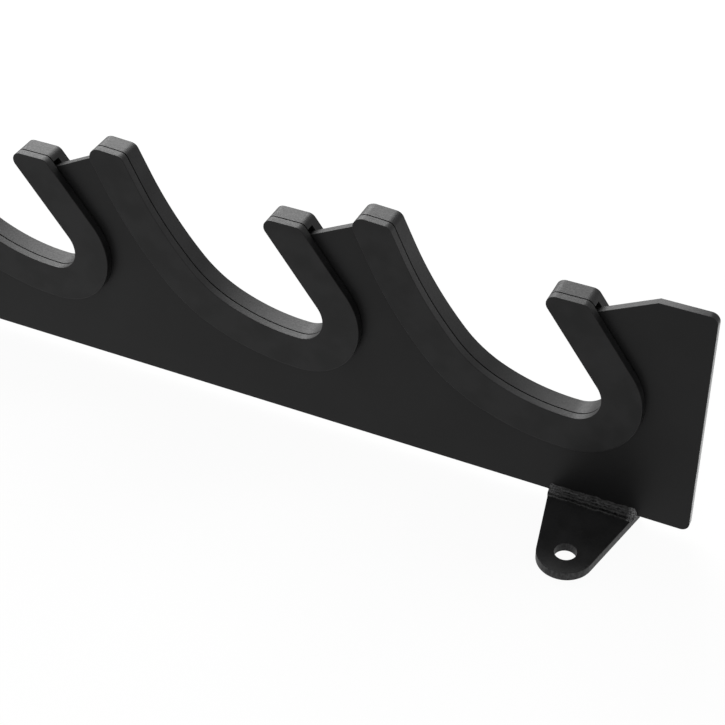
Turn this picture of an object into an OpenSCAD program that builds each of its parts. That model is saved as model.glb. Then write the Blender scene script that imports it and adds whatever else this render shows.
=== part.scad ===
// Barbell storage rack: one side plate with six lined slots, welded to two wall tabs.
// X runs along the plate, +Y is the side away from the tabs, and +Z points away from the wall face,
// which lies at Z = 0. The origin is midway between the holes of the two tabs, on the wall face.

/* [Side plate] */
// Thickness of the steel side plate
plate_t = 6; // [4:0.5:8]
// Height of the side plate from its lower edge to its flat top
plate_h = 180; // [176:1:183]
// Radius of the four outer corners of the side plate
plate_corner_r = 6; // [3:1:20]
// Distance from the last pocket's centre to the right-hand end
end_margin = 86; // [80:1:140]
// Distance from the first liner to the left-hand end
start_margin = 40; // [25:1:120]
// Drop of the sloping edge behind a lip below the flat top, taken straight above the pocket's centre
web_drop = 24; // [20:1:30]
// Rise of the sloping edge behind a lip, in degrees
web_rise = 26.5; // [20:0.5:32]

/* [Slots] */
// Distance from one slot to the next
pitch = 200; // [185:1:260]
// Height of the pocket's centre above the plate's lower edge
pocket_h = 95; // [85:1:100]
// Radius of the pocket that the bar rests in
pocket_r = 20; // [17:0.5:22]
// Lean of the lip from upright, in degrees
lip_lean = 35; // [28:1:38]
// Height of the lip's tip above the plate's lower edge
lip_h = 169; // [165:1:178]
// Height of the liner's upper cap above the plate's flat top
cap_rise = 9.5; // [7:0.5:25]
// Slope of the top of the cap, in degrees
cap_slope = 3.5; // [0:0.5:8]
// Radius of the shallow seat next to the pocket
seat_r = 130; // [100:1:160]
// Angle below level at the upper end of the seat
seat_angle = 24; // [20:1:28]
// Radius of the bend in the ramp
bend_r = 83; // [70:1:95]
// Angle below level at the upper end of the bend
bend_angle = 50; // [44:1:56]
// Radius of the long upper sweep of the ramp
sweep_r = 250; // [200:1:320]
// Angle below level of the straight top of the ramp
ramp_angle = 66; // [62:1:70]

/* [Liners] */
// Width of the liner band, from the bearing surface outward
liner_w = 27.5; // [24:0.5:34]
// Thickness of the front cheek
front_t = 6.5; // [5:0.5:10]
// Thickness of the back piece behind the steel
back_t = 7.5; // [6:0.5:12]
// Depth of plastic over the edge of the steel
nose = 9; // [6:0.5:11]
// Depth of plastic over the groove at the top of the tip
tip_wall = 4; // [2:0.5:5]
// Radius of the tip's corner on the side of the pocket
tip_inner_r = 6.5; // [3:0.5:8]
// Radius of the tip's corner on the outer side
tip_outer_r = 6; // [3:0.5:8]
// Radius of the cap's corner on the side of the ramp
cap_inner_r = 6; // [3:0.5:8]
// Radius of the cap's corner on the outer side
cap_outer_r = 8; // [3:0.5:9]
// Clearance between the groove and the edge of the steel
groove_gap = 0.3; // [0.1:0.1:1]

/* [Liner screws] */
// Diameter of a screw's thread
screw_d = 5; // [4:0.5:6]
// Diameter of a screw's countersunk head
screw_head_d = 10; // [9:0.5:12]
// Depth of a screw's countersunk head
screw_head_h = 3; // [2:0.25:3.5]
// Width across the flats of the socket in the head
screw_socket = 3; // [2.5:0.5:4]
// Depth of the socket in the head
socket_depth = 1.8; // [1:0.1:2]
// Distance of the end screws below the top of the plate and below the sloping edge
screw_drop = 14; // [12:1:20]
// Plastic left in front of a screw's hole
point_wall = 1.5; // [1:0.25:3]
// Clearance beyond a screw's point
point_gap = 0.5; // [0.2:0.1:1]
// Radial clearance of a screw in the steel and the back piece
screw_gap = 0.25; // [0.1:0.05:0.5]
// Radial clearance of a screw in its hole in the front cheek
pilot_gap = 0.05; // [0.02:0.01:0.1]

/* [Wall tabs] */
// Thickness of a tab
tab_t = 7; // [5:0.5:10]
// Width of a tab along the plate at its root
tab_w = 65; // [56:1:80]
// Distance from the plate's face to the centre of the tab's hole
hole_reach = 51; // [40:1:80]
// Radius of the tab's round end
tab_end_r = 19.5; // [15:0.5:24]
// Diameter of the tab's hole
hole_d = 15; // [9:0.5:18]
// Distance from an end of the plate to the centre of the nearest tab
tab_inset = 67.5; // [50:1:90]
// Size of the weld bead at the root of a tab
weld_leg = 7; // [3:0.5:8]

/* [Hidden] */
// Facets of the slot's arcs, and of small round pieces
$fn = 360;
small_fn = 96;
SLOTS = 6;

// Reach of the trimming shapes, past everything that they trim
far = 400;
// Overlap of a cutter past the face that it cuts
eps = 1;
// Depth by which each tighter curve dips past its neighbour, so that the two meet at a definite edge,
// and the angle by which it is drawn on past that edge
dip = 0.02;
arc_over = 6;

// Directions: travel down the ramp at an angle below level, and straight out of the opening there
function along(a) = [cos(a), -sin(a)];
function outward(a) = [-sin(a), -cos(a)];
function unit(v) = v / norm(v);
function cross_z(a, b) = a[0] * b[1] - a[1] * b[0];
// Point where the line through p along d meets the line through q along e
function meet(p, d, q, e) = p + d * cross_z(q - p, e) / cross_z(d, e);

// Centres of the slot's arcs, measured from the pocket's centre
pocket_c = [0, 0];
seat_c = pocket_c - (seat_r - pocket_r) * outward(0);
bend_c = seat_c + (seat_r - bend_r) * outward(seat_angle);
sweep_c = bend_c - (sweep_r - bend_r) * outward(bend_angle);
lip_turn = -(90 + lip_lean);

// Straight ends of the slot's outline at a distance off outside the bearing surface
function ramp_start(off) = sweep_c + (sweep_r + off) * outward(ramp_angle);
function lip_start(off) = pocket_c + (pocket_r + off) * outward(lip_turn);
up_ramp = -along(ramp_angle);
up_lip = along(lip_turn);

// Heights measured from the pocket's centre
tip_z = lip_h - pocket_h;
top_z = plate_h - pocket_h;
cap_z = top_z + cap_rise;
web_z = top_z - web_drop;
floor_z = -pocket_h;

// Corners of the liner band
cap_mid = meet(ramp_start(liner_w / 2), up_ramp, [0, cap_z], [1, 0]);
cap_run = [cos(cap_slope), -sin(cap_slope)];
cap_inner = meet(ramp_start(0), up_ramp, cap_mid, cap_run);
cap_outer = meet(ramp_start(liner_w), up_ramp, cap_mid, cap_run);
tip_inner = meet(lip_start(0), up_lip, [0, tip_z], [1, 0]);
tip_outer = meet(lip_start(liner_w), up_lip, [0, tip_z], [1, 0]);
mouth_x = (cap_inner[0] + tip_inner[0]) / 2;

// Places along the plate
plate_l = end_margin + (SLOTS - 1) * pitch - cap_outer[0] + start_margin;
function slot_x(i) = plate_l / 2 - end_margin - (SLOTS - i) * pitch;
tab_x = plate_l / 2 - tab_inset;
// Faces across the plate, and the height of its lower edge above the wall face
face_y = hole_reach;
plate_z = tab_t;

// Middle of the strip of steel and plastic that the screws pass through
screw_off = (liner_w + nose) / 2;
// Places of the screws: under the cap, on the sweep, the bend, the seat, the pocket and the lip
screw_points = [
    meet(ramp_start(screw_off), up_ramp, [0, top_z - screw_drop], [1, 0]),
    sweep_c + (sweep_r + screw_off) * outward((bend_angle + ramp_angle) / 2),
    bend_c + (bend_r + screw_off) * outward((seat_angle + bend_angle) / 2),
    seat_c + (seat_r + screw_off) * outward(seat_angle / 2),
    pocket_c + (pocket_r + screw_off) * outward(lip_turn / 2),
    meet(lip_start(screw_off), up_lip, [0, web_z - screw_drop], [1, 0])
];
hole_depth = front_t - point_wall;
screw_len = back_t + plate_t + hole_depth - point_gap;

// The part of a disc between two angles of the ramp, with its sides cut well inside the opening
module arc_region(centre, r, from, to) {
    intersection() {
        translate(centre) circle(r);
        polygon([
            centre + r * 0.9 * outward(from),
            centre + r * 3 * outward(from),
            centre + r * 3 * outward(to),
            centre + r * 0.9 * outward(to)
        ]);
    }
}

// Everything above the slot's outline, moved off outside the bearing surface
module opening(off) {
    ramp_top = ramp_start(off) + up_ramp * far;
    lip_top = lip_start(off) + up_lip * far;
    polygon([
        ramp_top,
        ramp_start(off),
        bend_c + (bend_r + off) * outward(bend_angle),
        seat_c + (seat_r + off) * outward(seat_angle),
        pocket_c + (pocket_r + off) * outward(0),
        lip_start(off),
        lip_top
    ]);
    arc_region(sweep_c, sweep_r + off + dip, ramp_angle + arc_over, bend_angle);
    arc_region(bend_c, bend_r + off + 2 * dip, bend_angle + arc_over, seat_angle - arc_over);
    arc_region(seat_c, seat_r + off, seat_angle, 0);
    translate(pocket_c) circle(pocket_r + off + dip);
}

// What is cut away to round the corner at v between the edges a and b
module corner_cut(v, a, b, r) {
    half = acos(a * b) / 2;
    bis = unit(a + b);
    c = v + bis * r / sin(half);
    t = r / tan(half);
    out_a = unit(a * (a * b) - b);
    out_b = unit(b * (a * b) - a);
    difference() {
        polygon([c, v + a * t, v + a * t + out_a * eps, v - bis * r, v + b * t + out_b * eps, v + b * t]);
        translate(c) circle(r + dip);
    }
}

// Everything below a line on the ramp's side, and below a level on the lip's side
module below(ramp_point, ramp_run, lip_level) {
    polygon([
        [-far, floor_z],
        [far, floor_z],
        [far, lip_level],
        [mouth_x, lip_level],
        meet(ramp_point, ramp_run, [mouth_x, 0], [0, 1]),
        meet(ramp_point, ramp_run, [-far, 0], [0, 1])
    ]);
}

// Outline of a liner
module liner_shape() {
    difference() {
        intersection() {
            opening(liner_w);
            below(cap_mid, cap_run, tip_z);
        }
        opening(0);
        corner_cut(tip_inner, [1, 0], -up_lip, tip_inner_r);
        corner_cut(tip_outer, [-1, 0], -up_lip, tip_outer_r);
        corner_cut(cap_inner, -cap_run, -up_ramp, cap_inner_r);
        corner_cut(cap_outer, cap_run, -up_ramp, cap_outer_r);
    }
}

// Outline of the groove in the back piece, which the edge of the steel fills
module groove_shape() {
    difference() {
        below([0, top_z + groove_gap], [1, 0], tip_z - tip_wall);
        opening(nose);
    }
}

// Stands a shape drawn in X and Z up, from y to y + t
module slab(y, t) {
    translate([0, y + t, 0]) rotate([90, 0, 0]) linear_extrude(t) children();
}

// Moves a piece drawn about a pocket's centre to slot i
module at_slot(i) {
    translate([slot_x(i), face_y, plate_z + pocket_h]) children();
}

// Round holes for a slot's screws, of radius r, from y to y + t
module screw_holes(r, y, t) {
    for (p = screw_points)
        translate([p[0], y, p[1]]) rotate([-90, 0, 0]) cylinder(r = r, h = t, $fn = small_fn);
}

// Outline of the side plate, with its lower left corner at the origin
module plate_shape() {
    l = plate_l;
    h = plate_h;
    r = plate_corner_r;
    difference() {
        square([l, h]);
        corner_cut([0, 0], [1, 0], [0, 1], r);
        corner_cut([l, 0], [-1, 0], [0, 1], r);
        corner_cut([0, h], [1, 0], [0, -1], r);
        corner_cut([l, h], [-1, 0], [0, -1], r);
    }
}

// Steel taken away for a slot, and behind its lip down to the sloping edge
module slot_cut() {
    opening(nose + groove_gap);
    polygon([
        [mouth_x, web_z + mouth_x * tan(web_rise)],
        [(top_z + eps - web_z) / tan(web_rise), top_z + eps],
        [mouth_x, top_z + eps]
    ]);
}

module side_plate() {
    color([0.07, 0.07, 0.075])
    difference() {
        translate([-plate_l / 2, 0, plate_z]) slab(face_y, plate_t) plate_shape();
        for (i = [1:SLOTS]) {
            at_slot(i) slab(-eps, plate_t + 2 * eps) slot_cut();
            at_slot(i) screw_holes(screw_d / 2 + screw_gap, -eps, plate_t + 2 * eps);
        }
    }
}

module front_liner(i) {
    color([0.12, 0.12, 0.125])
    at_slot(i) difference() {
        slab(-front_t, front_t) liner_shape();
        screw_holes(screw_d / 2 + pilot_gap, -hole_depth, hole_depth + eps);
    }
}

module back_liner(i) {
    color([0.11, 0.11, 0.115])
    at_slot(i) difference() {
        slab(0, plate_t + back_t) liner_shape();
        slab(-eps, plate_t + eps) groove_shape();
        screw_holes(screw_d / 2 + screw_gap, plate_t - eps, back_t + 2 * eps);
        for (p = screw_points)
            translate([p[0], plate_t + back_t, p[1]]) screw_cone();
    }
}

// Countersunk cone of a screw's head, which the countersink matches, with its top at the origin
module screw_cone() {
    rotate([90, 0, 0]) cylinder(d1 = screw_head_d, d2 = screw_d, h = screw_head_h, $fn = small_fn);
}

// One screw, with the top of its head at the origin and its point towards -Y
module liner_screw() {
    difference() {
        union() {
            screw_cone();
            rotate([90, 0, 0]) cylinder(d = screw_d, h = screw_len, $fn = small_fn);
        }
        translate([0, eps, 0]) rotate([90, 0, 0])
            cylinder(d = screw_socket / cos(30), h = socket_depth + eps, $fn = 6);
    }
}

module liner_screws(i) {
    color([0.2, 0.2, 0.2])
    at_slot(i) for (p = screw_points)
        translate([p[0], plate_t + back_t, p[1]]) liner_screw();
}

// A tab's root corner measured from its hole, the taper of its sides, and where they meet the round end
tab_root = [tab_w / 2, hole_reach + plate_t];
tab_taper = atan2(tab_root[0], tab_root[1]) - asin(tab_end_r / norm(tab_root));
tab_touch = tab_end_r * [cos(tab_taper), -sin(tab_taper)];

// Outline of a tab in X and Y, with the centre of its hole at the origin
module tab_shape() {
    foot = meet(tab_root, [sin(tab_taper), cos(tab_taper)], [0, -2 * tab_end_r], [1, 0]);
    difference() {
        polygon([tab_root, foot, [-foot[0], foot[1]], [-tab_root[0], tab_root[1]]]);
        difference() {
            translate([-far, -far]) square([2 * far, far + tab_touch[1]]);
            circle(tab_end_r + dip);
        }
    }
}

// A wall tab, on the side of the plate given by 1 or -1
module tab(side) {
    color([0.04, 0.04, 0.045])
    translate([side * tab_x, 0, 0]) difference() {
        linear_extrude(tab_t) tab_shape();
        translate([0, 0, -eps]) cylinder(d = hole_d, h = tab_t + 2 * eps);
    }
}

// A weld bead in the corner between a tab and the plate's face, with its ends cut at 45 degrees
module weld(side) {
    half_l = tab_root[0] - plate_t * tan(tab_taper);
    reach = 1.5 * weld_leg;
    color([0.15, 0.15, 0.15])
    translate([side * tab_x, face_y, plate_z]) intersection() {
        translate([-half_l - eps, 0, 0]) rotate([0, 90, 0])
            cylinder(r = weld_leg, h = 2 * (half_l + eps), $fn = small_fn);
        linear_extrude(reach)
            polygon([[-half_l, 0], [half_l, 0], [half_l - reach, -reach], [reach - half_l, -reach]]);
    }
}

side_plate();
for (i = [1:SLOTS]) {
    front_liner(i);
    back_liner(i);
    liner_screws(i);
}
tab(1);  // tab_right
tab(-1);  // tab_left
weld(1);  // weld_right
weld(-1);  // weld_left
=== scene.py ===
"""Barbell storage rack: its finished pieces, modelled on the packed frame, and a plain studio."""

import math
import random

import bmesh
import bpy
from bpy.props import FloatProperty, FloatVectorProperty, IntProperty, PointerProperty
from mathutils import Matrix, Vector


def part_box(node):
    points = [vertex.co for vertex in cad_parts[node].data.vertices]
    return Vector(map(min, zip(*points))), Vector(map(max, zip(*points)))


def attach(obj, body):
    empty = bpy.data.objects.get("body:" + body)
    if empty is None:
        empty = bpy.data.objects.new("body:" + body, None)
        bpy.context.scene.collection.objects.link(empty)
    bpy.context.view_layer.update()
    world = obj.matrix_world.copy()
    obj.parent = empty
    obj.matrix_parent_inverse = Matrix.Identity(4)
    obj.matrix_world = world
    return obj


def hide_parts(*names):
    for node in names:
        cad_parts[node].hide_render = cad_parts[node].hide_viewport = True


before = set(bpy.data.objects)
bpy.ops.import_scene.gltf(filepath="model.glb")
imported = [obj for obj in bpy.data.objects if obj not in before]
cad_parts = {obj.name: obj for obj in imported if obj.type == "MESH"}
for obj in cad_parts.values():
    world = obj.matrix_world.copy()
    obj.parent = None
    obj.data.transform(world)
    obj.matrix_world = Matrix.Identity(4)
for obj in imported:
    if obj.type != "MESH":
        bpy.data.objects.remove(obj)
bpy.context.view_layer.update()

bl_info = {
    "name": "Barbell storage rack",
    "version": (1, 0, 0),
    "blender": (4, 5, 0),
    "location": "View3D > Sidebar > Rack",
    "description": "Models a barbell storage rack on its CAD frame, with its finishes and a studio",
    "category": "Add Mesh",
}

MM = 0.001
SLOTS = 6
BODY = "root"
# Places that the frame fixes
PLATE_LOW, PLATE_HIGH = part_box("side_plate")
LINER_LOW, LINER_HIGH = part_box("back_liner_1")
CHEEK_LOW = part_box("front_liner_1")[0]
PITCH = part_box("front_liner_2")[0].x - CHEEK_LOW.x
TAB_LOW, TAB_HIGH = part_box("tab_right")
WELD_LOW, WELD_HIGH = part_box("weld_right")
FACE_Y = PLATE_LOW.y
TAB_MIDDLE = (TAB_LOW.x + TAB_HIGH.x) / 2
# Indexes of the frame's axes in a point
X, Y, Z = 0, 1, 2
# Largest gap between a curve and its facets, and the angle above which an edge stays sharp
CURVE_TOLERANCE = 0.008 * MM
SHARP = math.radians(40)
# How far a piece's flat faces rule the shading of its roundings
FLAT_WEIGHT = 80
# Distance below which two vertices are one
MERGE = 0.01 * MM
# How far a cutter reaches past the surface that it cuts
PAST = 1 * MM
# Sides of a turned screw, of the cutters of its holes, and of the tab's hole
TURNED_SIDES = 48
CUTTER_SIDES = 32
HOLE_SIDES = 72
# Widening of a countersink over the screw's head, and room between a screw's point and its hole's end
HEAD_ROOM = 0.12 * MM
POINT_ROOM = 0.5 * MM
# Bevels of a screw: inward and down at the head, and at the point
HEAD_BEVEL_IN = 0.15 * MM
HEAD_BEVEL_DOWN = 0.25 * MM
POINT_BEVEL = 0.6 * MM
# Section of the weld bead, from its toe on the tab over a low lip and a high one to its toe on the plate,
# as shares of its size: out from the plate, and up from the tab
BEAD_SECTION = (
    (1.07, 0.0), (1.05, 0.06), (1.0, 0.12), (0.93, 0.15), (0.86, 0.145), (0.77, 0.12), (0.67, 0.11),
    (0.58, 0.13), (0.52, 0.19), (0.48, 0.28), (0.46, 0.38), (0.43, 0.47), (0.37, 0.52), (0.29, 0.535),
    (0.21, 0.56), (0.15, 0.62), (0.11, 0.71), (0.08, 0.8), (0.04, 0.87), (0.0, 0.9),
)
# The bead's rings: from one to the next, where the first and the last lie inside and past the CAD bead's
# ends, and how deep the section reaches into the plate and the tab
RING_STEP = 0.45 * MM
BEAD_INSET = 0.2 * MM
BEAD_OVERRUN = 0.8 * MM
BEAD_SUNK = 0.4 * MM
# The bead's uneven run: its size as a share of the CAD bead, the most by which chance changes it at a
# ring, and the share of the drift so far that each ring takes back
BEAD_SHARE = 0.95
DRIFT = 0.035
DRIFT_BACK = 0.12
# The bead's ends: the stretch over which one rounds off, the square of its least share of the full size,
# and the knobs where the weld starts and stops, with their place and width
ROUND_OFF = 1.8 * MM
LEAST_END = 0.15
START_KNOB = 0.1
STOP_KNOB = 0.2
KNOB_PLACE = 3.6 * MM
KNOB_WIDTH = 3 * MM
# Sizes of the noise under the lumps and the spatter, and the height over the tab of the bead's ridge,
# along which the weld's finish paints a highlight
LUMP_SIZE = 3.6 * MM
SPATTER_SIZE = 1.6 * MM
RIDGE_HEIGHT = 3.6 * MM
# Sizes of the clouds in the plastic of the front and back pieces
FRONT_CLOUDS = 21 * MM
BACK_CLOUDS = 30 * MM
# The floor, and the lamps: where they stand, what they point at, and how wide and high they are
FLOOR_SIZE = 60
FLOOR_DROP = 0.3 * MM
BACK_AIM = Vector((0.35, 0.05, 0.15))
BACK_WAY = Vector((-0.48, 0.69, 0.54))
BACK_DISTANCE = 1.5
BACK_SIZE = (1.45, 1.2)
LOW_PLACE = Vector((0.71, 0.24, 4 * MM))
LOW_SIZE = (0.2, 0.36)
# The camera's film width in millimetres, and the nearest thing that it sees
FILM_WIDTH = 36
CLIP_START = 0.01
X_AXIS = Vector((1, 0, 0))
Y_AXIS = Vector((0, 1, 0))
Z_AXIS = Vector((0, 0, 1))


def length(name, description, default):
    """A length that the panel shows, in metres"""
    return FloatProperty(
        name=name, description=description, default=default, min=0, unit="LENGTH", subtype="DISTANCE",
        precision=5)


def turn(name, description, degrees):
    """An angle that the panel shows"""
    return FloatProperty(
        name=name, description=description, default=math.radians(degrees), unit="ROTATION",
        subtype="ANGLE")


def colour(name, description, default):
    """A colour that the panel shows"""
    return FloatVectorProperty(
        name=name, description=description, default=default, min=0, max=1, subtype="COLOR")


def share(name, description, default, most=1):
    """A plain number that the panel shows"""
    return FloatProperty(name=name, description=description, default=default, min=0, max=most)


class RackPlate(bpy.types.PropertyGroup):
    """Sizes of the steel side plate"""

    corner: length("Corner radius", "Radius of the four outer corners", 6 * MM)
    end_margin: length("End margin", "From the last pocket's centre to the right-hand end", 86 * MM)
    web_drop: length("Edge drop", "Drop of the sloping edge above the pocket, below the flat top", 24 * MM)
    web_rise: turn("Edge rise", "Rise of the sloping edge behind a lip", 26.5)
    edge: length("Edge rounding", "Rounding of the cut edges under their coating", 0.55 * MM)


class RackSlot(bpy.types.PropertyGroup):
    """Sizes of the curve that a bar rolls down"""

    pocket: length("Pocket radius", "Radius of the pocket that the bar rests in", 20 * MM)
    lean: turn("Lip lean", "Lean of the lip from upright", 35)
    seat: length("Seat radius", "Radius of the shallow seat next to the pocket", 130 * MM)
    seat_angle: turn("Seat angle", "Angle below level at the upper end of the seat", 24)
    bend: length("Bend radius", "Radius of the bend in the ramp", 83 * MM)
    bend_angle: turn("Bend angle", "Angle below level at the upper end of the bend", 50)
    sweep: length("Sweep radius", "Radius of the long upper sweep", 250 * MM)
    ramp_angle: turn("Ramp angle", "Angle below level of the straight top of the ramp", 66)
    tip_drop: length("Tip drop", "Drop of a lip's tip below the plate's flat top", 11 * MM)


class RackLiner(bpy.types.PropertyGroup):
    """Sizes of the two plastic pieces that line a slot"""

    width: length("Width", "Width of the band, from the bearing surface outward", 27.5 * MM)
    nose: length("Nose", "Depth of plastic over the edge of the steel", 9 * MM)
    gap: length("Gap", "Clearance between the groove and the steel", 0.3 * MM)
    cap_rise: length("Cap rise", "Height of the cap above the plate's flat top", 9.5 * MM)
    cap_slope: turn("Cap slope", "Slope of the top of the cap", 3.5)
    tip_wall: length("Tip wall", "Depth of plastic over the groove at the tip", 4 * MM)
    tip_inner: length("Tip inner corner", "Radius of the tip's corner by the pocket", 6.5 * MM)
    tip_outer: length("Tip outer corner", "Radius of the tip's outer corner", 6 * MM)
    cap_inner: length("Cap inner corner", "Radius of the cap's corner by the ramp", 6 * MM)
    cap_outer: length("Cap outer corner", "Radius of the cap's outer corner", 8 * MM)
    face_round: length("Face rounding", "Rounding of the outer edges", 0.5 * MM)
    seam_round: length("Seam rounding", "Small rounding of the edges at the seam", 0.25 * MM)
    seam_gap: length("Seam gap", "Width of the fine gap round the cheek's back", 0.7 * MM)
    seam_depth: length("Seam depth", "Depth of the fine gap", 2.2 * MM)


class RackScrew(bpy.types.PropertyGroup):
    """Sizes of the countersunk liner screws"""

    thread: length("Thread", "Diameter of the thread", 5 * MM)
    head: length("Head", "Diameter of the countersunk head", 10 * MM)
    head_depth: length("Head depth", "Depth of the countersunk head", 3 * MM)
    socket: length("Socket", "Width across the flats of the socket", 3 * MM)
    socket_depth: length("Socket depth", "Depth of the socket", 1.8 * MM)
    drop: length("End distance", "From the end screws to the top of the steel", 14 * MM)
    gap: length("Gap", "Clearance round the thread in the steel and the back piece", 0.25 * MM)
    sunk: length("Sunk", "Depth of the head below the plastic", 0.15 * MM)
    point_wall: length("Point wall", "Plastic left in front of a screw's hole", 1.5 * MM)


class RackTab(bpy.types.PropertyGroup):
    """Sizes of the wall tabs and their weld beads"""

    end: length("End radius", "Radius of the round end", 19.5 * MM)
    hole: length("Hole", "Diameter of the hole", 15 * MM)
    edge: length("Edge rounding", "Rounding of the tab's cut edges", 0.55 * MM)
    rim: length("Rim rounding", "Rounding of the hole's two rims", 0.3 * MM)
    ripple: length("Ripple", "From one ripple of the bead to the next", 1.9 * MM)
    ripple_depth: share("Ripple depth", "Depth of the ripples, as a share of the bead", 0.045)
    lump_depth: length("Lumps", "Height of the bead's lumps", 0.9 * MM)
    spatter: length("Spatter", "Height of the small beads on it", 0.3 * MM)
    seed: IntProperty(name="Seed", description="Starts the bead's uneven run", default=7)


class RackFinish(bpy.types.PropertyGroup):
    """Colours of the finishes"""

    powder: colour("Powder coat", "Matte black coat of the side plate", (0.0084, 0.0084, 0.0086))
    plastic: colour("Plastic", "Matte black plastic of the liners", (0.0080, 0.0080, 0.0082))
    screw: colour("Screws", "Black oxide on the screws", (0.05, 0.05, 0.052))
    tab: colour("Tab coat", "Smoother black coat of the tabs", (0.0170, 0.0170, 0.0173))
    weld: colour("Weld coat", "Coat on the rough weld bead", (0.014, 0.014, 0.0142))


class RackStage(bpy.types.PropertyGroup):
    """The camera, the lamps and the floor"""

    camera: FloatVectorProperty(
        name="Camera", description="Place of the camera", subtype="TRANSLATION", unit="LENGTH",
        precision=5, default=(0.809745, -0.759475, 0.824392))
    aim: FloatVectorProperty(
        name="Aim", description="Turn of the camera", subtype="EULER", unit="ROTATION",
        default=[math.radians(a) for a in (50.26657, 1.04514, 25.74010)])
    lens: FloatProperty(
        name="Lens", description="Focal length", default=84.889, min=1, unit="CAMERA")
    floor_white: share("Floor white", "Share of plain white in the floor that the camera sees", 0.95)
    ambient: share("Ambient", "Strength of the light from all round", 0.6, 10)
    softbox: share("Softbox", "Brightness of the large lamp behind", 9.2, 100)
    card: share("Low lamp", "Brightness of the small lamp low behind the end", 3.1, 100)


GROUPS = {
    "rack_plate": RackPlate,
    "rack_slot": RackSlot,
    "rack_liner": RackLiner,
    "rack_screw": RackScrew,
    "rack_tab": RackTab,
    "rack_finish": RackFinish,
    "rack_stage": RackStage,
}


# Plane geometry of the slot

def outward(angle):
    """Straight out of the opening where the ramp falls at this angle"""
    return Vector((-math.sin(angle), -math.cos(angle)))


def level(height):
    """A level line at this height, as a point and a direction"""
    return Vector((0, height)), Vector((1, 0))


def meet(p, d, q, e):
    """Where the line through p along d meets the line through q along e"""
    return p + d * ((q - p).cross(e) / d.cross(e))


def turned(point, centre, angle):
    """A point turned round a centre, from X towards the plane's second axis"""
    return centre + Matrix.Rotation(angle, 2) @ (point - centre)


class SlotCurve:
    """The bearing curve of a slot, measured from the pocket's centre in X and Z"""

    def __init__(self, scene):
        slot = scene.rack_slot
        plate = scene.rack_plate
        self.liner = scene.rack_liner
        lip_turn = -(math.pi / 2 + slot.lean)
        pocket_c = Vector((0, 0))
        seat_c = pocket_c - (slot.seat - slot.pocket) * outward(0)
        bend_c = seat_c + (slot.seat - slot.bend) * outward(slot.seat_angle)
        sweep_c = bend_c - (slot.sweep - slot.bend) * outward(slot.bend_angle)
        # Each arc's centre and radius, and its angles at the top and at the bottom
        self.arcs = [
            (sweep_c, slot.sweep, slot.ramp_angle, slot.bend_angle),
            (bend_c, slot.bend, slot.bend_angle, slot.seat_angle),
            (seat_c, slot.seat, slot.seat_angle, 0),
            (pocket_c, slot.pocket, 0, lip_turn),
        ]
        self.up_ramp = Vector((-math.cos(slot.ramp_angle), math.sin(slot.ramp_angle)))
        self.up_lip = Vector((math.cos(lip_turn), -math.sin(lip_turn)))
        self.pocket_x = PLATE_HIGH.x - plate.end_margin
        self.pocket_z = LINER_LOW.z + slot.pocket + self.liner.width
        self.top = PLATE_HIGH.z - self.pocket_z
        self.tip = self.top - slot.tip_drop
        self.web = self.top - plate.web_drop
        self.web_run = Vector((math.cos(plate.web_rise), math.sin(plate.web_rise)))

    def ramp_start(self, off):
        """Top of the arcs, at a distance off outside the bearing curve"""
        centre, radius, upper, _ = self.arcs[0]
        return centre + (radius + off) * outward(upper)

    def lip_start(self, off):
        """Bottom of the straight lip, at a distance off outside the bearing curve"""
        centre, radius, _, lower = self.arcs[-1]
        return centre + (radius + off) * outward(lower)

    def on_ramp(self, off, line):
        """Where the straight top of the ramp meets a line"""
        return meet(self.ramp_start(off), self.up_ramp, *line)

    def on_lip(self, off, line):
        """Where the straight lip meets a line"""
        return meet(self.lip_start(off), self.up_lip, *line)

    def cap_line(self):
        """The sloping top of the cap"""
        middle = self.on_ramp(self.liner.width / 2, level(self.top + self.liner.cap_rise))
        slope = self.liner.cap_slope
        return middle, Vector((math.cos(slope), -math.sin(slope)))

    def roll_down(self, outline, off, shift):
        """Draws the arcs from the ramp down to the lip"""
        outline.line(self.ramp_start(off) + shift)
        for centre, _, upper, lower in self.arcs:
            outline.arc(centre + shift, upper - lower)

    def roll_up(self, outline, off, shift):
        """Draws the arcs from the lip up to the ramp"""
        outline.line(self.lip_start(off) + shift)
        for centre, _, upper, lower in reversed(self.arcs):
            outline.arc(centre + shift, lower - upper)

    def screw_points(self, screw):
        """Centres of the screws: straight ramp, sweep, bend, seat, pocket and lip"""
        off = (self.liner.width + self.liner.nose) / 2
        points = [self.on_ramp(off, level(self.top - screw.drop))]
        for centre, radius, upper, lower in self.arcs:
            points.append(centre + (radius + off) * outward((upper + lower) / 2))
        points.append(self.on_lip(off, level(self.web - screw.drop)))
        return points

    def shift(self, slot=SLOTS):
        """From the pocket's centre of a slot to the frame's origin, in X and Z"""
        return Vector((self.pocket_x - (SLOTS - slot) * PITCH, self.pocket_z))


# Modelling as by hand

def clear_selection():
    """Selects nothing, so that the next primitive is alone"""
    bpy.ops.object.select_all(action="DESELECT")


def take(piece):
    """Makes a piece the only one selected and the active one"""
    clear_selection()
    piece.select_set(True)
    bpy.context.view_layer.objects.active = piece


def one_vertex(name, place):
    """Starts a piece as one selected vertex at a place, in edit mode"""
    clear_selection()
    bpy.ops.mesh.primitive_plane_add(size=MM, location=place)
    piece = bpy.context.object
    piece.name = name
    bpy.ops.object.transform_apply(location=True, rotation=False, scale=False)
    bpy.ops.object.mode_set(mode="EDIT")
    bpy.ops.mesh.select_mode(type="VERT")
    bpy.ops.mesh.select_all(action="SELECT")
    bpy.ops.mesh.merge(type="CENTER")
    return piece


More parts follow.
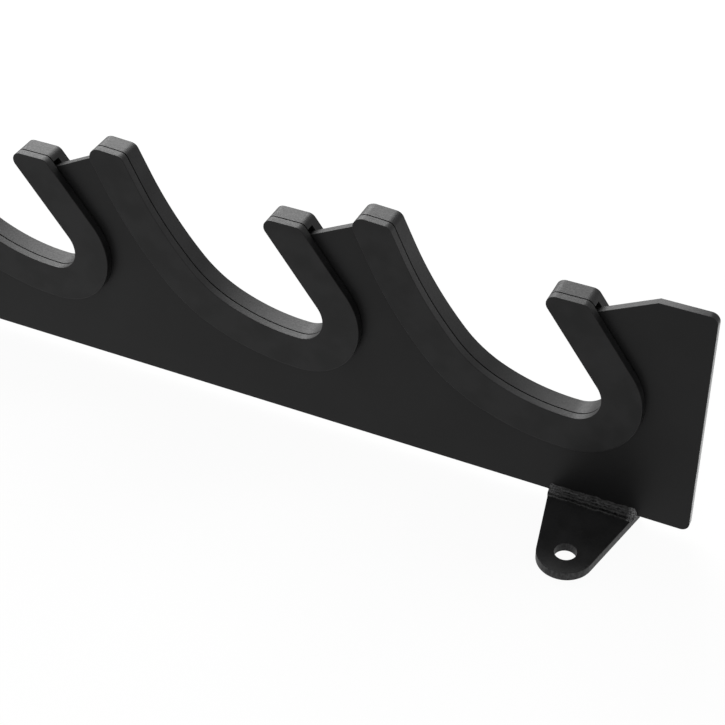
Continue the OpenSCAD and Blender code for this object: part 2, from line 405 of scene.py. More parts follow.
class Outline:
    """A closed outline drawn from one vertex: extruded along its lines and spun round its arcs"""

    def __init__(self, name, origin, across, up, start):
        self.origin = Vector(origin)
        self.across = across
        self.up = up
        self.piece = one_vertex(name, self.place(start))
        self.start = start
        self.here = start

    def place(self, point):
        """A point of the plane in space"""
        return self.origin + self.across * point.x + self.up * point.y

    def end(self):
        """The vertex that the line has come to"""
        mesh = bmesh.from_edit_mesh(self.piece.data)
        chosen = [v for v in mesh.verts if v.select]
        if len(chosen) != 1:
            raise RuntimeError(f"{self.piece.name}: the outline has {len(chosen)} loose ends")
        return chosen[0].co.copy()

    def line(self, point):
        """Extrudes the vertex to a point"""
        step = self.place(point) - self.end()
        if step.length > MERGE:
            bpy.ops.mesh.extrude_region_move(TRANSFORM_OT_translate={"value": step})
        self.here = point

    def arc(self, centre, angle):
        """Spins the vertex round a centre, from the first axis towards the second"""
        radius = (self.here - centre).length
        widest = 2 * math.acos(1 - CURVE_TOLERANCE / radius)
        bpy.ops.mesh.spin(
            steps=max(2, math.ceil(abs(angle) / widest)), angle=angle, center=self.place(centre),
            axis=self.up.cross(self.across))
        self.here = turned(self.here, centre, angle)

    def corner(self, vertex, after, radius):
        """Draws on to a corner and round it, towards the point after it"""
        back = (self.here - vertex).normalized()
        on = (after - vertex).normalized()
        half = back.angle(on) / 2
        cut = radius / math.tan(half)
        centre = vertex + (back + on).normalized() * (radius / math.sin(half))
        side = 1 if back.cross(on) < 0 else -1
        self.line(vertex + back * cut)
        self.arc(centre, side * (math.pi - 2 * half))

    def fill(self, depth):
        """Closes the outline, fills it, and extrudes it by a vector. Returns the piece"""
        self.line(self.start)
        bpy.ops.mesh.select_all(action="SELECT")
        bpy.ops.mesh.remove_doubles(threshold=MERGE)
        bpy.ops.mesh.edge_face_add()
        bpy.ops.mesh.select_mode(type="FACE")
        bpy.ops.mesh.select_all(action="SELECT")
        bpy.ops.mesh.extrude_region_move(TRANSFORM_OT_translate={"value": depth})
        bpy.ops.mesh.select_all(action="SELECT")
        bpy.ops.mesh.normals_make_consistent(inside=False)
        bpy.ops.object.mode_set(mode="OBJECT")
        return self.piece


def near(axis, place):
    """A test for points at a place along an axis"""
    return lambda point: abs(point[axis] - place) < MERGE


def pick_faces(piece, chosen):
    """Selects the faces of a piece in edit mode whose corners are all chosen"""
    bpy.ops.mesh.select_mode(type="FACE")
    bpy.ops.mesh.select_all(action="DESELECT")
    mesh = bmesh.from_edit_mesh(piece.data)
    for face in mesh.faces:
        face.select_set(all(chosen(v.co) for v in face.verts))
    bmesh.update_edit_mesh(piece.data)


def round_edges(piece, chosen, radius, segments):
    """Bevels the sharp edges of a piece whose two ends are both chosen, in a number of facets"""
    take(piece)
    bpy.ops.object.mode_set(mode="EDIT")
    bpy.ops.mesh.select_mode(type="EDGE")
    bpy.ops.mesh.select_all(action="DESELECT")
    mesh = bmesh.from_edit_mesh(piece.data)
    for edge in mesh.edges:
        if len(edge.link_faces) == 2 and edge.calc_face_angle() > SHARP:
            edge.select_set(all(chosen(v.co) for v in edge.verts))
    bmesh.update_edit_mesh(piece.data)
    bpy.ops.mesh.bevel(
        offset=radius, offset_type="OFFSET", segments=segments, profile=0.5, affect="EDGES",
        clamp_overlap=False)
    bpy.ops.object.mode_set(mode="OBJECT")


def raise_face(piece, y, inset, rise):
    """Insets the flat end of a piece at this Y, and extrudes the face inside it"""
    take(piece)
    bpy.ops.object.mode_set(mode="EDIT")
    pick_faces(piece, near(Y, y))
    bpy.ops.mesh.inset(thickness=inset, depth=0)
    bpy.ops.mesh.extrude_region_move(TRANSFORM_OT_translate={"value": (0, rise, 0)})
    bpy.ops.object.mode_set(mode="OBJECT")


def cut(piece, cutter):
    """Cuts a solid out of a piece, and takes the cutter away"""
    take(piece)
    tool = piece.modifiers.new("cut", "BOOLEAN")
    tool.operation = "DIFFERENCE"
    tool.solver = "EXACT"
    tool.object = cutter
    bpy.ops.object.modifier_apply(modifier=tool.name)
    bpy.data.objects.remove(cutter)


def revolve(name, profile, sides):
    """Spins a profile of (radius, Y) points round the Y axis, from one end of the axis to the other"""
    piece = one_vertex(name, (profile[0][0], profile[0][1], 0))
    for before, after in zip(profile, profile[1:]):
        step = (after[0] - before[0], after[1] - before[1], 0)
        bpy.ops.mesh.extrude_region_move(TRANSFORM_OT_translate={"value": step})
    bpy.ops.mesh.select_all(action="SELECT")
    bpy.ops.mesh.spin(steps=sides, angle=math.tau, center=(0, 0, 0), axis=Y_AXIS)
    bpy.ops.mesh.select_all(action="SELECT")
    bpy.ops.mesh.remove_doubles(threshold=MERGE)
    bpy.ops.mesh.normals_make_consistent(inside=False)
    bpy.ops.object.mode_set(mode="OBJECT")
    return piece


def copy_to(piece, name, shift):
    """A copy of a piece with its own mesh, moved by a vector"""
    take(piece)
    bpy.ops.object.duplicate_move(TRANSFORM_OT_translate={"value": shift})
    made = bpy.context.object
    made.name = name
    bpy.ops.object.transform_apply(location=True, rotation=False, scale=False)
    return made


def join(pieces, name):
    """Joins pieces into one, under a name"""
    take(pieces[0])
    for piece in pieces:
        piece.select_set(True)
    bpy.ops.object.join()
    made = bpy.context.object
    made.name = name
    return made


def smooth(piece):
    """Smooths a piece's curves and keeps its flat faces flat"""
    take(piece)
    bpy.ops.object.shade_smooth_by_angle(angle=SHARP)
    normals = piece.modifiers.new("normals", "WEIGHTED_NORMAL")
    normals.keep_sharp = True
    normals.weight = FLAT_WEIGHT
    bpy.ops.object.modifier_apply(modifier=normals.name)


def hand_over(piece, finish, slot, *nodes):
    """Gives a piece its finish and ties it to the frame"""
    piece.data.materials.clear()
    piece.data.materials.append(finish)
    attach(piece, BODY)
    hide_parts(*nodes)


def fill_slots(piece, name, finish, slot, node):
    """Copies the last slot's piece to the other slots, and hands each one over"""
    for number in range(1, SLOTS):
        made = copy_to(piece, f"{name}_{number}", ((number - SLOTS) * PITCH, 0, 0))
        hand_over(made, finish, slot, f"{node}_{number}")
    hand_over(piece, finish, slot, f"{node}_{SLOTS}")


# Finishes

class Wire:
    """One value in a finish, so that its pattern is written as arithmetic"""

    def __init__(self, finish, socket):
        self.finish = finish
        self.socket = socket

    def math(self, operation, first, second):
        return self.finish.node("ShaderNodeMath", {"operation": operation}, {0: first, 1: second})

    def __add__(self, other):
        return self.math("ADD", self, other)

    __radd__ = __add__

    def __sub__(self, other):
        return self.math("SUBTRACT", self, other)

    def __rsub__(self, other):
        return self.math("SUBTRACT", other, self)

    def __mul__(self, other):
        return self.math("MULTIPLY", self, other)

    def __abs__(self):
        return self.math("ABSOLUTE", self, 0.0)

    def at_least(self, other):
        return self.math("MAXIMUM", self, other)

    def ramp(self, low, high):
        """From 0 at low to 1 at high, held beyond them"""
        return self.finish.node(
            "ShaderNodeMapRange", {"interpolation_type": "SMOOTHSTEP"},
            {"Value": self, "From Min": low, "From Max": high})


class Finish:
    """A material or a world, written as arithmetic on its patterns"""

    def __init__(self, owner):
        self.owner = owner
        owner.use_nodes = True
        self.tree = owner.node_tree
        self.tree.nodes.clear()

    def node(self, kind, settings=None, inputs=None, output=0):
        """Adds a node: its settings first, then the values or links of its sockets"""
        made = self.tree.nodes.new(kind)
        for name, value in (settings or {}).items():
            setattr(made, name, value)
        for name, value in (inputs or {}).items():
            if isinstance(value, Wire):
                self.tree.links.new(value.socket, made.inputs[name])
            else:
                made.inputs[name].default_value = value
        return Wire(self, made.outputs[output]) if made.outputs else None

    def place(self, stretch=None):
        """The place on the piece, stretched along its axes"""
        here = self.node("ShaderNodeTexCoord", output="Object")
        if stretch is None:
            return here
        return self.node("ShaderNodeVectorMath", {"operation": "MULTIPLY"}, {0: here, 1: stretch})

    def grain(self, size, detail=2.0, rough=0.5, stretch=None):
        """Cloudy noise from 0 to 1, with grains of a size in metres"""
        return self.node(
            "ShaderNodeTexNoise", {"noise_dimensions": "3D"},
            {"Vector": self.place(stretch), "Scale": 1 / size, "Detail": detail, "Roughness": rough})

    def facing(self, axis):
        """How much the surface faces along an axis of the frame, from 0 to 1"""
        normal = self.node("ShaderNodeNewGeometry", output="Normal")
        return abs(self.node("ShaderNodeSeparateXYZ", None, {0: normal}, output=axis))

    def tint(self, base, low, high, mask):
        """A colour that runs from low to high times the base"""
        return self.blend(*([*(c * k for c in base), 1.0] for k in (low, high)), mask)

    def blend(self, first, second, mask):
        """A colour that runs from the first to the second, by the Mix node's sockets for colours"""
        return self.node(
            "ShaderNodeMix", {"data_type": "RGBA"}, {0: mask, 6: first, 7: second}, output=2)

    def seen(self):
        """1 where the camera sees it, straight or in a gloss, and 0 where it only lights"""
        rays = [self.node("ShaderNodeLightPath", output=f"Is {kind} Ray")
                for kind in ("Camera", "Glossy", "Transmission")]
        return rays[0].at_least(rays[1]).at_least(rays[2])

    def relief(self, height):
        """The normal of a surface whose height is given in millimetres"""
        return self.node("ShaderNodeBump", None, {"Height": height, "Distance": MM, "Strength": 1.0})

    def surface(self, gloss=0.5, **inputs):
        """The surface itself, from its Principled sockets, with gloss as its specular level"""
        named = {key.replace("_", " "): value for key, value in inputs.items()}
        named["Specular IOR Level"] = gloss
        shader = self.node("ShaderNodeBsdfPrincipled", None, named)
        self.node("ShaderNodeOutputMaterial", None, {0: shader})
        return self.owner


def powder_coat(base):
    """Matte powder coat: a fine orange peel, dust specks and faint clouds, rougher over the cut edges"""
    coat = Finish(bpy.data.materials.new("powder_coat_black"))
    clouds = coat.grain(60 * MM, 3)
    specks = coat.grain(0.5 * MM, 1)
    peel = coat.grain(1.6 * MM, 2)
    cuts = coat.grain(1.2 * MM, 3, 0.6)
    edge = 1 - coat.facing("Y").ramp(0.35, 0.9)
    mask = clouds * 0.5 + specks * 0.5
    return coat.surface(
        Base_Color=coat.tint(base, 0.72, 1.3, mask.ramp(0.3, 0.7)),
        Roughness=0.4 + clouds * 0.05 + specks * 0.04 + edge * cuts * 0.12,
        gloss=0.15,
        Normal=coat.relief(peel * 0.012 + specks * 0.003 + edge * cuts * 0.07))


def slot_plastic(name, base, cloud_size):
    """Matte plastic cut from sheet: a dull skin, and fine routing lines and nicks on its cut edge"""
    plastic = Finish(bpy.data.materials.new(name))
    clouds = plastic.grain(cloud_size, 2, 0.45)
    skin = plastic.grain(0.35 * MM, 2)
    lines = plastic.grain(1.1 * MM, 3, 0.65, stretch=(0.02, 1, 0.02))
    nicks = plastic.grain(1.4 * MM, 3, 0.6)
    edge = 1 - plastic.facing("Y").ramp(0.35, 0.9)
    mask = clouds.ramp(0.32, 0.68) * 0.6 + (skin * 0.5 + (lines - 0.5) * edge * 0.5) * 0.8
    return plastic.surface(
        Base_Color=plastic.tint(base, 0.55, 1.45, mask.ramp(0, 1)),
        Roughness=0.41 + skin * 0.08 + clouds * 0.04 + edge * (lines * 0.1 + (nicks - 0.5) * 0.25),
        gloss=0.19,
        Normal=plastic.relief(skin * 0.004 + edge * (lines * 0.03 + nicks * 0.06)))


def black_oxide(base):
    """Black oxide on turned steel, cloudy and finely grained"""
    oxide = Finish(bpy.data.materials.new("black_oxide_steel"))
    clouds = oxide.grain(2.5 * MM, 3)
    fine = oxide.grain(0.25 * MM, 1)
    return oxide.surface(
        Base_Color=oxide.tint(base, 0.6, 1.8, (clouds * 0.6 + fine * 0.4).ramp(0.3, 0.75)),
        Roughness=0.36 + fine * 0.12,
        Metallic=0.85,
        Normal=oxide.relief(fine * 0.002))


def tab_coat(base):
    """Smoother coat on the tabs, over flame-cut sides with mottled drag marks, whose colour is also
    painted lighter than the faces as a painted reflection of the floor
    """
    coat = Finish(bpy.data.materials.new("tab_coat_black"))
    clouds = coat.grain(18 * MM, 3)
    peel = coat.grain(1.3 * MM, 2)
    side = 1 - coat.facing("Z").ramp(0.3, 0.8)
    drag = coat.grain(1.5 * MM, 3, 0.6, stretch=(1, 1, 0.3))
    face = coat.tint(base, 0.75, 1.35, (clouds * 0.7 + peel * 0.3).ramp(0.3, 0.7))
    # The cut sides: real drag marks, and a colour up to three times lighter than the faces, a painted
    # reflection
    cut_side_and_painted_sheen = coat.tint(base, 0.9, 3.2, drag.ramp(0.36, 0.64))
    return coat.surface(
        Base_Color=coat.blend(face, cut_side_and_painted_sheen, side),
        Roughness=0.34 + clouds * 0.06 + side * drag * 0.18,
        gloss=0.15,
        Normal=coat.relief(peel * 0.008 + side * drag * 0.09))


def weld_coat(base):
    """Coat on the weld bead: blotchy and pitted, with painted highlights along its ridge and on its ends,
    a lighter and glossier colour that stands in for glints
    """
    coat = Finish(bpy.data.materials.new("weld_coat_black"))
    blotches = coat.grain(1.9 * MM, 2, 0.55, stretch=(0.7, 1, 1))
    pits = coat.grain(0.8 * MM, 3, 0.6)
    place = coat.place()
    along = coat.node("ShaderNodeSeparateXYZ", None, {0: place}, output="X")
    height = coat.node("ShaderNodeSeparateXYZ", None, {0: place}, output="Z")
    out = abs(along) - TAB_MIDDLE
    half = (WELD_HIGH.x - WELD_LOW.x) / 2
    # The ends, the outer one most, and a band along the ridge get a lighter colour, mottled by the pits:
    # painted glints, not bare metal
    outer_end = out.ramp(half - 6 * MM, half - 2 * MM)
    inner_end = out.ramp(14 * MM - half, 3 * MM - half)
    ends = outer_end + inner_end * 0.35
    ridge = abs(height - WELD_LOW.z - RIDGE_HEIGHT).ramp(1.0 * MM, 0.2 * MM)
    painted_glint = (ends + ridge * blotches.ramp(0.35, 0.6) * 0.15) * pits.ramp(0.4, 0.58)
    coated = coat.tint(base, 0.1, 1.8, (blotches * 0.6 + pits * 0.4).ramp(0.42, 0.6))
    # Colour of the painted glints, fourteen times the coat's
    glint_colour = [*(c * 14 for c in base), 1.0]
    return coat.surface(
        Base_Color=coat.blend(coated, glint_colour, painted_glint),
        Roughness=0.3 + pits * 0.16 - painted_glint * 0.1,
        gloss=0.2,
        Normal=coat.relief(pits * 0.05 + blotches * 0.1))


def finish_once(name, maker, *values):
    """The finish of this name, made the first time it is asked for"""
    return bpy.data.materials.get(name) or maker(*values)


# Pieces

def screw_cutters(curve, screw, profile, slots=(SLOTS,)):
    """Solids turned from one profile at each screw of some slots, joined"""
    first = revolve("cutter", profile, CUTTER_SIDES)
    cutters = []
    for slot in slots:
        for point in curve.screw_points(screw):
            spot = point + curve.shift(slot)
            cutters.append(copy_to(first, "cutter", (spot.x, FACE_Y, spot.y)))
    bpy.data.objects.remove(first)
    return join(cutters, "cutters")


def liner_outline(name, curve, at_y):
    """Draws a liner's outline round the last slot"""
    liner = curve.liner
    shift = curve.shift()
    wide = liner.width
    cap = curve.cap_line()
    tip = level(curve.tip)
    cap_inner = curve.on_ramp(0, cap) + shift
    cap_outer = curve.on_ramp(wide, cap) + shift
    tip_inner = curve.on_lip(0, tip) + shift
    tip_outer = curve.on_lip(wide, tip) + shift
    outline = Outline(name, (0, at_y, 0), X_AXIS, Z_AXIS, curve.ramp_start(0) + shift)
    curve.roll_down(outline, 0, shift)
    outline.corner(tip_inner, tip_outer, liner.tip_inner)
    outline.corner(tip_outer, curve.lip_start(wide) + shift, liner.tip_outer)
    curve.roll_up(outline, wide, shift)
    outline.corner(cap_outer, cap_inner, liner.cap_outer)
    outline.corner(cap_inner, curve.ramp_start(0) + shift, liner.cap_inner)
    return outline


def groove_cutter(curve):
    """The groove that the edge of the steel fills, cut on past the liner's outer side"""
    liner = curve.liner
    shift = curve.shift()
    outer = liner.width + liner.nose
    ramp_end = level(curve.top + liner.gap)
    lip_end = level(curve.tip - liner.tip_wall)
    outline = Outline(
        "groove", (0, FACE_Y - PAST, 0), X_AXIS, Z_AXIS, curve.on_ramp(liner.nose, ramp_end) + shift)
    curve.roll_down(outline, liner.nose, shift)
    outline.line(curve.on_lip(liner.nose, lip_end) + shift)
    outline.line(curve.on_lip(outer, lip_end) + shift)
    curve.roll_up(outline, outer, shift)
    outline.line(curve.on_ramp(outer, ramp_end) + shift)
    return outline.fill((0, PLATE_HIGH.y - FACE_Y + PAST, 0))


class RACK_OT_side_plate(bpy.types.Operator):
    """Cuts the steel side plate with its six slots and rounds its edges"""

    bl_idname = "rack.side_plate"
    bl_label = "Side plate"

    def execute(self, context):
        scene = context.scene
        plate = scene.rack_plate
        curve = SlotCurve(scene)
        off = curve.liner.nose + curve.liner.gap
        low = Vector((PLATE_LOW.x, PLATE_LOW.z))
        high = Vector((PLATE_HIGH.x, PLATE_HIGH.z))
        corners = [Vector((high.x, low.y)), high, Vector((low.x, high.y)), low]
        middle = Vector(((low.x + high.x) / 2, low.y))
        outline = Outline("steel_side_plate", (0, FACE_Y, 0), X_AXIS, Z_AXIS, middle)
        outline.corner(corners[0], corners[1], plate.corner)
        outline.corner(corners[1], corners[2], plate.corner)
        web = (Vector((0, curve.web)), curve.web_run)
        for slot in range(SLOTS, 0, -1):
            shift = curve.shift(slot)
            outline.line(meet(*level(curve.top), *web) + shift)
            outline.line(curve.on_lip(off, web) + shift)
            curve.roll_up(outline, off, shift)
            outline.line(curve.on_ramp(off, level(curve.top)) + shift)
        outline.corner(corners[2], corners[3], plate.corner)
        outline.corner(corners[3], middle, plate.corner)
        piece = outline.fill((0, PLATE_HIGH.y - FACE_Y, 0))
        for face in (PLATE_LOW.y, PLATE_HIGH.y):
            round_edges(piece, near(Y, face), plate.edge, segments=3)
        screw = scene.rack_screw
        hole = screw.thread / 2 + screw.gap
        far = PLATE_HIGH.y - FACE_Y + PAST
        profile = [(0, -PAST), (hole, -PAST), (hole, far), (0, far)]
        cut(piece, screw_cutters(curve, screw, profile, range(1, SLOTS + 1)))
        smooth(piece)
        finish = finish_once("powder_coat_black", powder_coat, scene.rack_finish.powder)
        hand_over(piece, finish, "powder_coat", "side_plate")
        return {"FINISHED"}


class RACK_OT_front_liners(bpy.types.Operator):
    """Cuts one front cheek, rounds it, and copies it to the six slots"""

    bl_idname = "rack.front_liners"
    bl_label = "Front cheeks"

    def execute(self, context):
        scene = context.scene
        curve = SlotCurve(scene)
        liner = curve.liner
        screw = scene.rack_screw
        rim_y = FACE_Y - liner.seam_gap
        outline = liner_outline(f"front_cheek_{SLOTS}", curve, CHEEK_LOW.y)
        piece = outline.fill((0, rim_y - CHEEK_LOW.y, 0))
        round_edges(piece, near(Y, CHEEK_LOW.y), liner.face_round, segments=5)
        raise_face(piece, rim_y, liner.seam_depth, liner.seam_gap)
        round_edges(piece, near(Y, rim_y), liner.seam_round, segments=2)
        depth = FACE_Y - CHEEK_LOW.y - screw.point_wall
        radius = screw.thread / 2
        profile = [(0, -depth), (radius, -depth), (radius, PAST), (0, PAST)]
        cut(piece, screw_cutters(curve, screw, profile))
        smooth(piece)
        finish = finish_once("liner_plastic_front", slot_plastic, "liner_plastic_front",
                             scene.rack_finish.plastic, FRONT_CLOUDS)
        fill_slots(piece, "front_cheek", finish, "liner_front", "front_liner")
        return {"FINISHED"}


class RACK_OT_back_liners(bpy.types.Operator):
    """Cuts one back piece with its groove and countersinks, and copies it to the six slots"""

    bl_idname = "rack.back_liners"
    bl_label = "Back pieces"

    def execute(self, context):
        scene = context.scene
        curve = SlotCurve(scene)
        liner = curve.liner
        screw = scene.rack_screw
        back = LINER_HIGH.y
        piece = liner_outline(f"back_piece_{SLOTS}", curve, FACE_Y).fill((0, back - FACE_Y, 0))
        round_edges(piece, near(Y, back), liner.face_round, segments=5)
        round_edges(piece, near(Y, FACE_Y), liner.seam_round, segments=2)
        cut(piece, groove_cutter(curve))
        rear = back - FACE_Y
        hole = screw.thread / 2 + screw.gap
        rim = screw.head / 2 + HEAD_ROOM
        inside = 2 * PAST
        profile = [(0, inside), (hole, inside), (hole, rear - screw.head_depth), (rim, rear),
                   (rim, rear + PAST), (0, rear + PAST)]
        cut(piece, screw_cutters(curve, screw, profile))
        smooth(piece)
        finish = finish_once("liner_plastic_back", slot_plastic, "liner_plastic_back",
                             scene.rack_finish.plastic, BACK_CLOUDS)
        fill_slots(piece, "back_piece", finish, "liner_back", "back_liner")
        return {"FINISHED"}


class RACK_OT_liner_screws(bpy.types.Operator):
    """Turns one countersunk screw, cuts its socket, and copies it to every hole"""

    bl_idname = "rack.liner_screws"
    bl_label = "Liner screws"

    def execute(self, context):
        scene = context.scene
        screw = scene.rack_screw
        curve = SlotCurve(scene)
        rear = LINER_HIGH.y - FACE_Y - screw.sunk
        tip = CHEEK_LOW.y - FACE_Y + screw.point_wall + POINT_ROOM
        head = screw.head / 2
        shank = screw.thread / 2
        profile = [
            (0, rear), (head - HEAD_BEVEL_IN, rear), (head, rear - HEAD_BEVEL_DOWN),
            (shank, rear - screw.head_depth), (shank, tip + POINT_BEVEL), (shank - POINT_BEVEL, tip),
            (0, tip)]
        piece = revolve("screw", profile, TURNED_SIDES)
        clear_selection()
        bpy.ops.mesh.primitive_cylinder_add(
            vertices=6, radius=screw.socket / 2 / math.cos(math.pi / 6), depth=2 * screw.socket_depth,
            location=(0, rear, 0), rotation=(math.pi / 2, 0, 0))
        socket = bpy.context.object
        bpy.ops.object.transform_apply(location=True, rotation=True, scale=True)
        cut(piece, socket)
        smooth(piece)
        finish = finish_once("black_oxide_steel", black_oxide, scene.rack_finish.screw)
        for slot in range(1, SLOTS + 1):
            shift = curve.shift(slot)
            copies = []
            for number, point in enumerate(curve.screw_points(screw)):
                spot = point + shift
                copies.append(copy_to(piece, f"screw_{number}", (spot.x, FACE_Y, spot.y)))
            made = join(copies, f"liner_screw_set_{slot}")
            hand_over(made, finish, "screw_steel", f"liner_screws_{slot}")
        bpy.data.objects.remove(piece)
        return {"FINISHED"}


class RACK_OT_wall_tabs(bpy.types.Operator):
    """Cuts one wall tab with its round end and hole, rounds its edges, and copies it"""

    bl_idname = "rack.wall_tabs"
    bl_label = "Wall tabs"

    def execute(self, context):
        scene = context.scene
        tab = scene.rack_tab
        half = (TAB_HIGH.x - TAB_LOW.x) / 2
        root = Vector((half, TAB_HIGH.y))
        taper = math.atan2(root.x, root.y) - math.asin(tab.end / root.length)
        touch = tab.end * Vector((math.cos(taper), -math.sin(taper)))
        outline = Outline(
            "wall_tab_right", (TAB_MIDDLE, 0, TAB_LOW.z), X_AXIS, Y_AXIS, Vector((0, root.y)))
        outline.line(Vector((-root.x, root.y)))
        outline.line(Vector((-touch.x, touch.y)))
        outline.arc(Vector((0, 0)), math.pi - 2 * taper)
        outline.line(root)
        piece = outline.fill((0, 0, TAB_HIGH.z - TAB_LOW.z))
        for face in (TAB_LOW.z, TAB_HIGH.z):
            round_edges(piece, near(Z, face), tab.edge, segments=3)
        clear_selection()
        bpy.ops.mesh.primitive_cylinder_add(
            vertices=HOLE_SIDES, radius=tab.hole / 2, depth=4 * TAB_HIGH.z,
            location=(TAB_MIDDLE, 0, 0))
        hole = bpy.context.object
        bpy.ops.object.transform_apply(location=True, rotation=False, scale=False)
        cut(piece, hole)
        for face in (TAB_LOW.z, TAB_HIGH.z):
            round_edges(piece, self.on_rim(face, tab.hole / 2), tab.rim, segments=2)
        smooth(piece)
        finish = finish_once("tab_coat_black", tab_coat, scene.rack_finish.tab)
        left = copy_to(piece, "wall_tab_left", (-2 * TAB_MIDDLE, 0, 0))
        hand_over(piece, finish, "tab_coat", "tab_right")
        hand_over(left, finish, "tab_coat", "tab_left")
        return {"FINISHED"}

    def on_rim(self, face, radius):
        """A test for points on the hole's rim in one of the tab's faces"""
        at_face = near(Z, face)
        return lambda point: at_face(point) and abs(
            math.hypot(point.x - TAB_MIDDLE, point.y) - radius) < MERGE


class RACK_OT_weld_beads(bpy.types.Operator):
    """Runs a rippled weld bead ring by ring along a tab's root, and copies it"""

    bl_idname = "rack.weld_beads"
    bl_label = "Weld beads"

    def execute(self, context):
        scene = context.scene
        tab = scene.rack_tab
        dice = random.Random(tab.seed)
        start = WELD_LOW.x + BEAD_INSET
        stop = WELD_HIGH.x + BEAD_OVERRUN
        rings = round((stop - start) / RING_STEP)
        piece = self.first_stretch(start)
        take(piece)
        bpy.ops.object.mode_set(mode="EDIT")
        self.scale_end(piece, start, self.size_at(0, rings, tab))
        drift = 1
        here = 1
        for ring in range(1, rings + 1):
            drift += (1 - drift) * DRIFT_BACK + dice.uniform(-DRIFT, DRIFT)
            size = self.size_at(ring, rings, tab) * drift
            x = start + ring * RING_STEP
            if ring > 1:
                pick_faces(piece, near(X, x - RING_STEP))
                bpy.ops.mesh.extrude_region_move(TRANSFORM_OT_translate={"value": (RING_STEP, 0, 0)})
            self.scale_end(piece, x, size / here)
            here = size
        bpy.ops.object.mode_set(mode="OBJECT")
        self.roughen(piece, "lumps", LUMP_SIZE, tab.lump_depth)
        self.roughen(piece, "spatter", SPATTER_SIZE, tab.spatter)
        smooth(piece)
        finish = finish_once("weld_coat_black", weld_coat, scene.rack_finish.weld)
        left = copy_to(piece, "weld_bead_left", (-2 * TAB_MIDDLE, 0, 0))
        hand_over(piece, finish, "weld_coat", "weld_right")
        hand_over(left, finish, "weld_coat", "weld_left")
        return {"FINISHED"}

    def first_stretch(self, start):
        """Draws the bead's section at its start, and extrudes it to the first ring"""
        leg = WELD_HIGH.z - WELD_LOW.z
        corner = Vector((start, FACE_Y, WELD_LOW.z))
        outline = Outline("weld_bead_right", corner, -Y_AXIS, Z_AXIS, Vector((-BEAD_SUNK, -BEAD_SUNK)))
        outline.line(Vector((leg * BEAD_SECTION[0][0], -BEAD_SUNK)))
        for out, up in BEAD_SECTION:
            outline.line(leg * Vector((out, up)))
        outline.line(Vector((-BEAD_SUNK, leg * BEAD_SECTION[-1][1])))
        return outline.fill((RING_STEP, 0, 0))

    def size_at(self, ring, rings, tab):
        """Size of the bead at a ring, as a share of its full size"""
        place = ring * RING_STEP
        end = min(place, (rings - ring) * RING_STEP)
        closing = 1
        if end <= ROUND_OFF:
            closing = math.sqrt(max(LEAST_END, 1 - (1 - end / ROUND_OFF) ** 2))
        knob = START_KNOB if end == place else STOP_KNOB
        swell = 1 + knob * math.exp(-((end - KNOB_PLACE) / KNOB_WIDTH) ** 2)
        ripple = 1 - tab.ripple_depth * abs(math.sin(math.pi * place / tab.ripple))
        return closing * swell * ripple * BEAD_SHARE

    def scale_end(self, piece, x, size):
        """Scales the face at an end of the bead about the tab's root"""
        pick_faces(piece, near(X, x))
        bpy.ops.transform.resize(value=(1, size, size), center_override=(x, FACE_Y, WELD_LOW.z))

    def roughen(self, piece, name, size, height):
        """Moves the bead's surface by cloudy noise of a size, to a height from lowest to highest"""
        clouds = bpy.data.textures.new(name, "CLOUDS")
        clouds.noise_scale = size
        clouds.noise_depth = 1
        rough = piece.modifiers.new(name, "DISPLACE")
        rough.texture = clouds
        rough.texture_coords = "LOCAL"
        rough.strength = height
        rough.mid_level = 0.5
        bpy.ops.object.modifier_apply(modifier=rough.name)


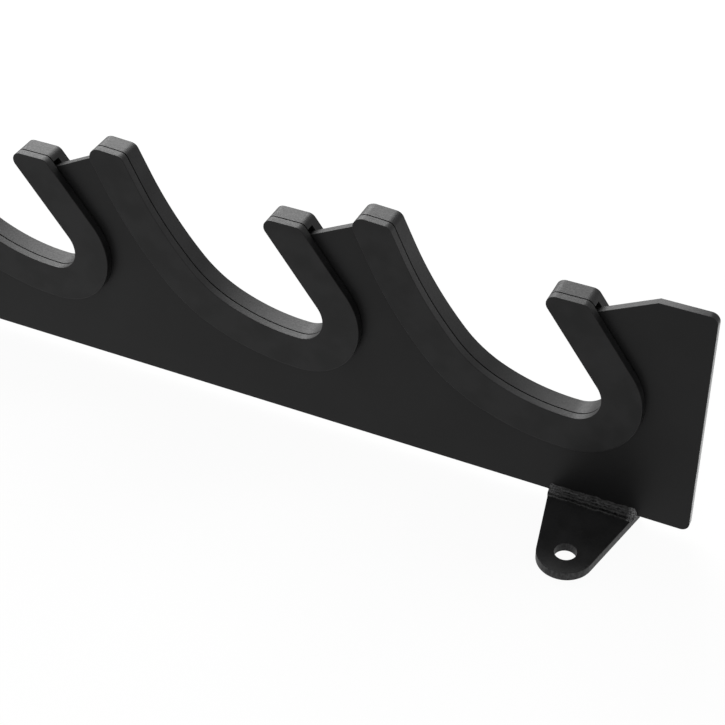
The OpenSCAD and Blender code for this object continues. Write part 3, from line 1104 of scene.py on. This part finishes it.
class RACK_OT_stage(bpy.types.Operator):
    """Sets the floor, the lamps, the world and the camera"""

    bl_idname = "rack.stage"
    bl_label = "Stage"

    def execute(self, context):
        scene = context.scene
        stage = scene.rack_stage
        self.floor(stage)
        self.world(scene, stage)
        self.lamps(stage)
        clear_selection()
        bpy.ops.object.camera_add(location=stage.camera, rotation=stage.aim)
        camera = context.object
        camera.data.lens = stage.lens
        camera.data.sensor_width = FILM_WIDTH
        camera.data.clip_start = CLIP_START
        scene.camera = camera
        scene.view_settings.view_transform = "Standard"
        return {"FINISHED"}

    def floor(self, stage):
        """A pale floor just under the tabs, white where the camera or a gloss sees it"""
        clear_selection()
        bpy.ops.mesh.primitive_plane_add(size=FLOOR_SIZE, location=(0, 0, -FLOOR_DROP))
        floor = bpy.context.object
        floor.name = "floor"
        pale = Finish(bpy.data.materials.new("pale_floor"))
        seen = pale.seen()
        cloud = pale.tint((0.8, 0.8, 0.8), 0.98, 1.02, pale.grain(0.2, 2))
        paper = pale.node("ShaderNodeBsdfDiffuse", None, {"Color": cloud})
        white = pale.node("ShaderNodeEmission", None, {"Color": (1, 1, 1, 1), "Strength": 1.0})
        mixed = pale.node("ShaderNodeMixShader", None, {0: seen * stage.floor_white, 1: paper, 2: white})
        pale.node("ShaderNodeOutputMaterial", None, {0: mixed})
        floor.data.materials.append(pale.owner)

    def world(self, scene, stage):
        """Even light from all round, white where the camera or a gloss sees it"""
        world = bpy.data.worlds.new("studio")
        scene.world = world
        air = Finish(world)
        grey = (stage.ambient, stage.ambient, stage.ambient, 1)
        tone = air.blend(grey, (1, 1, 1, 1), air.seen())
        sky = air.node("ShaderNodeBackground", None, {"Color": tone, "Strength": 1.0})
        air.node("ShaderNodeOutputWorld", None, {0: sky})

    def lamps(self, stage):
        """A large softbox high behind the rack, and a small one low behind its right-hand end"""
        back = BACK_AIM + BACK_DISTANCE * BACK_WAY
        self.softbox("softbox_back", back, BACK_AIM, BACK_SIZE, stage.softbox)
        self.softbox("softbox_low", LOW_PLACE, LOW_PLACE + Z_AXIS, LOW_SIZE, stage.card)

    def softbox(self, name, place, aim, size, brightness):
        """An oblong lamp of a given brightness, pointed at a place"""
        wide, high = size
        clear_selection()
        bpy.ops.object.light_add(type="AREA", location=place)
        lamp = bpy.context.object
        lamp.name = name
        lamp.rotation_euler = (aim - place).to_track_quat("-Z", "Y").to_euler()
        lamp.data.shape = "RECTANGLE"
        lamp.data.size = wide
        lamp.data.size_y = high
        lamp.data.energy = brightness * math.pi * wide * high
        lamp.visible_camera = False


OPERATORS = (
    RACK_OT_side_plate,
    RACK_OT_front_liners,
    RACK_OT_back_liners,
    RACK_OT_liner_screws,
    RACK_OT_wall_tabs,
    RACK_OT_weld_beads,
    RACK_OT_stage,
)


class RACK_PT_panel(bpy.types.Panel):
    """Lists the steps and their sizes"""

    bl_label = "Barbell storage rack"
    bl_idname = "RACK_PT_panel"
    bl_space_type = "VIEW_3D"
    bl_region_type = "UI"
    bl_category = "Rack"

    def draw(self, context):
        for step in OPERATORS:
            self.layout.operator(step.bl_idname)
        for name, group in GROUPS.items():
            box = self.layout.box()
            box.label(text=group.__doc__)
            for field in group.__annotations__:
                box.prop(getattr(context.scene, name), field)


def register():
    for group in GROUPS.values():
        bpy.utils.register_class(group)
    for name, group in GROUPS.items():
        setattr(bpy.types.Scene, name, PointerProperty(type=group))
    for shown in (*OPERATORS, RACK_PT_panel):
        bpy.utils.register_class(shown)


def unregister():
    for shown in (RACK_PT_panel, *reversed(OPERATORS)):
        bpy.utils.unregister_class(shown)
    for name, group in reversed(GROUPS.items()):
        delattr(bpy.types.Scene, name)
        bpy.utils.unregister_class(group)


def main():
    """Builds every piece and the stage"""
    register()
    bpy.ops.rack.side_plate()
    bpy.ops.rack.front_liners()
    bpy.ops.rack.back_liners()
    bpy.ops.rack.liner_screws()
    bpy.ops.rack.wall_tabs()
    bpy.ops.rack.weld_beads()
    bpy.ops.rack.stage()


if __name__ == "__main__":
    main()
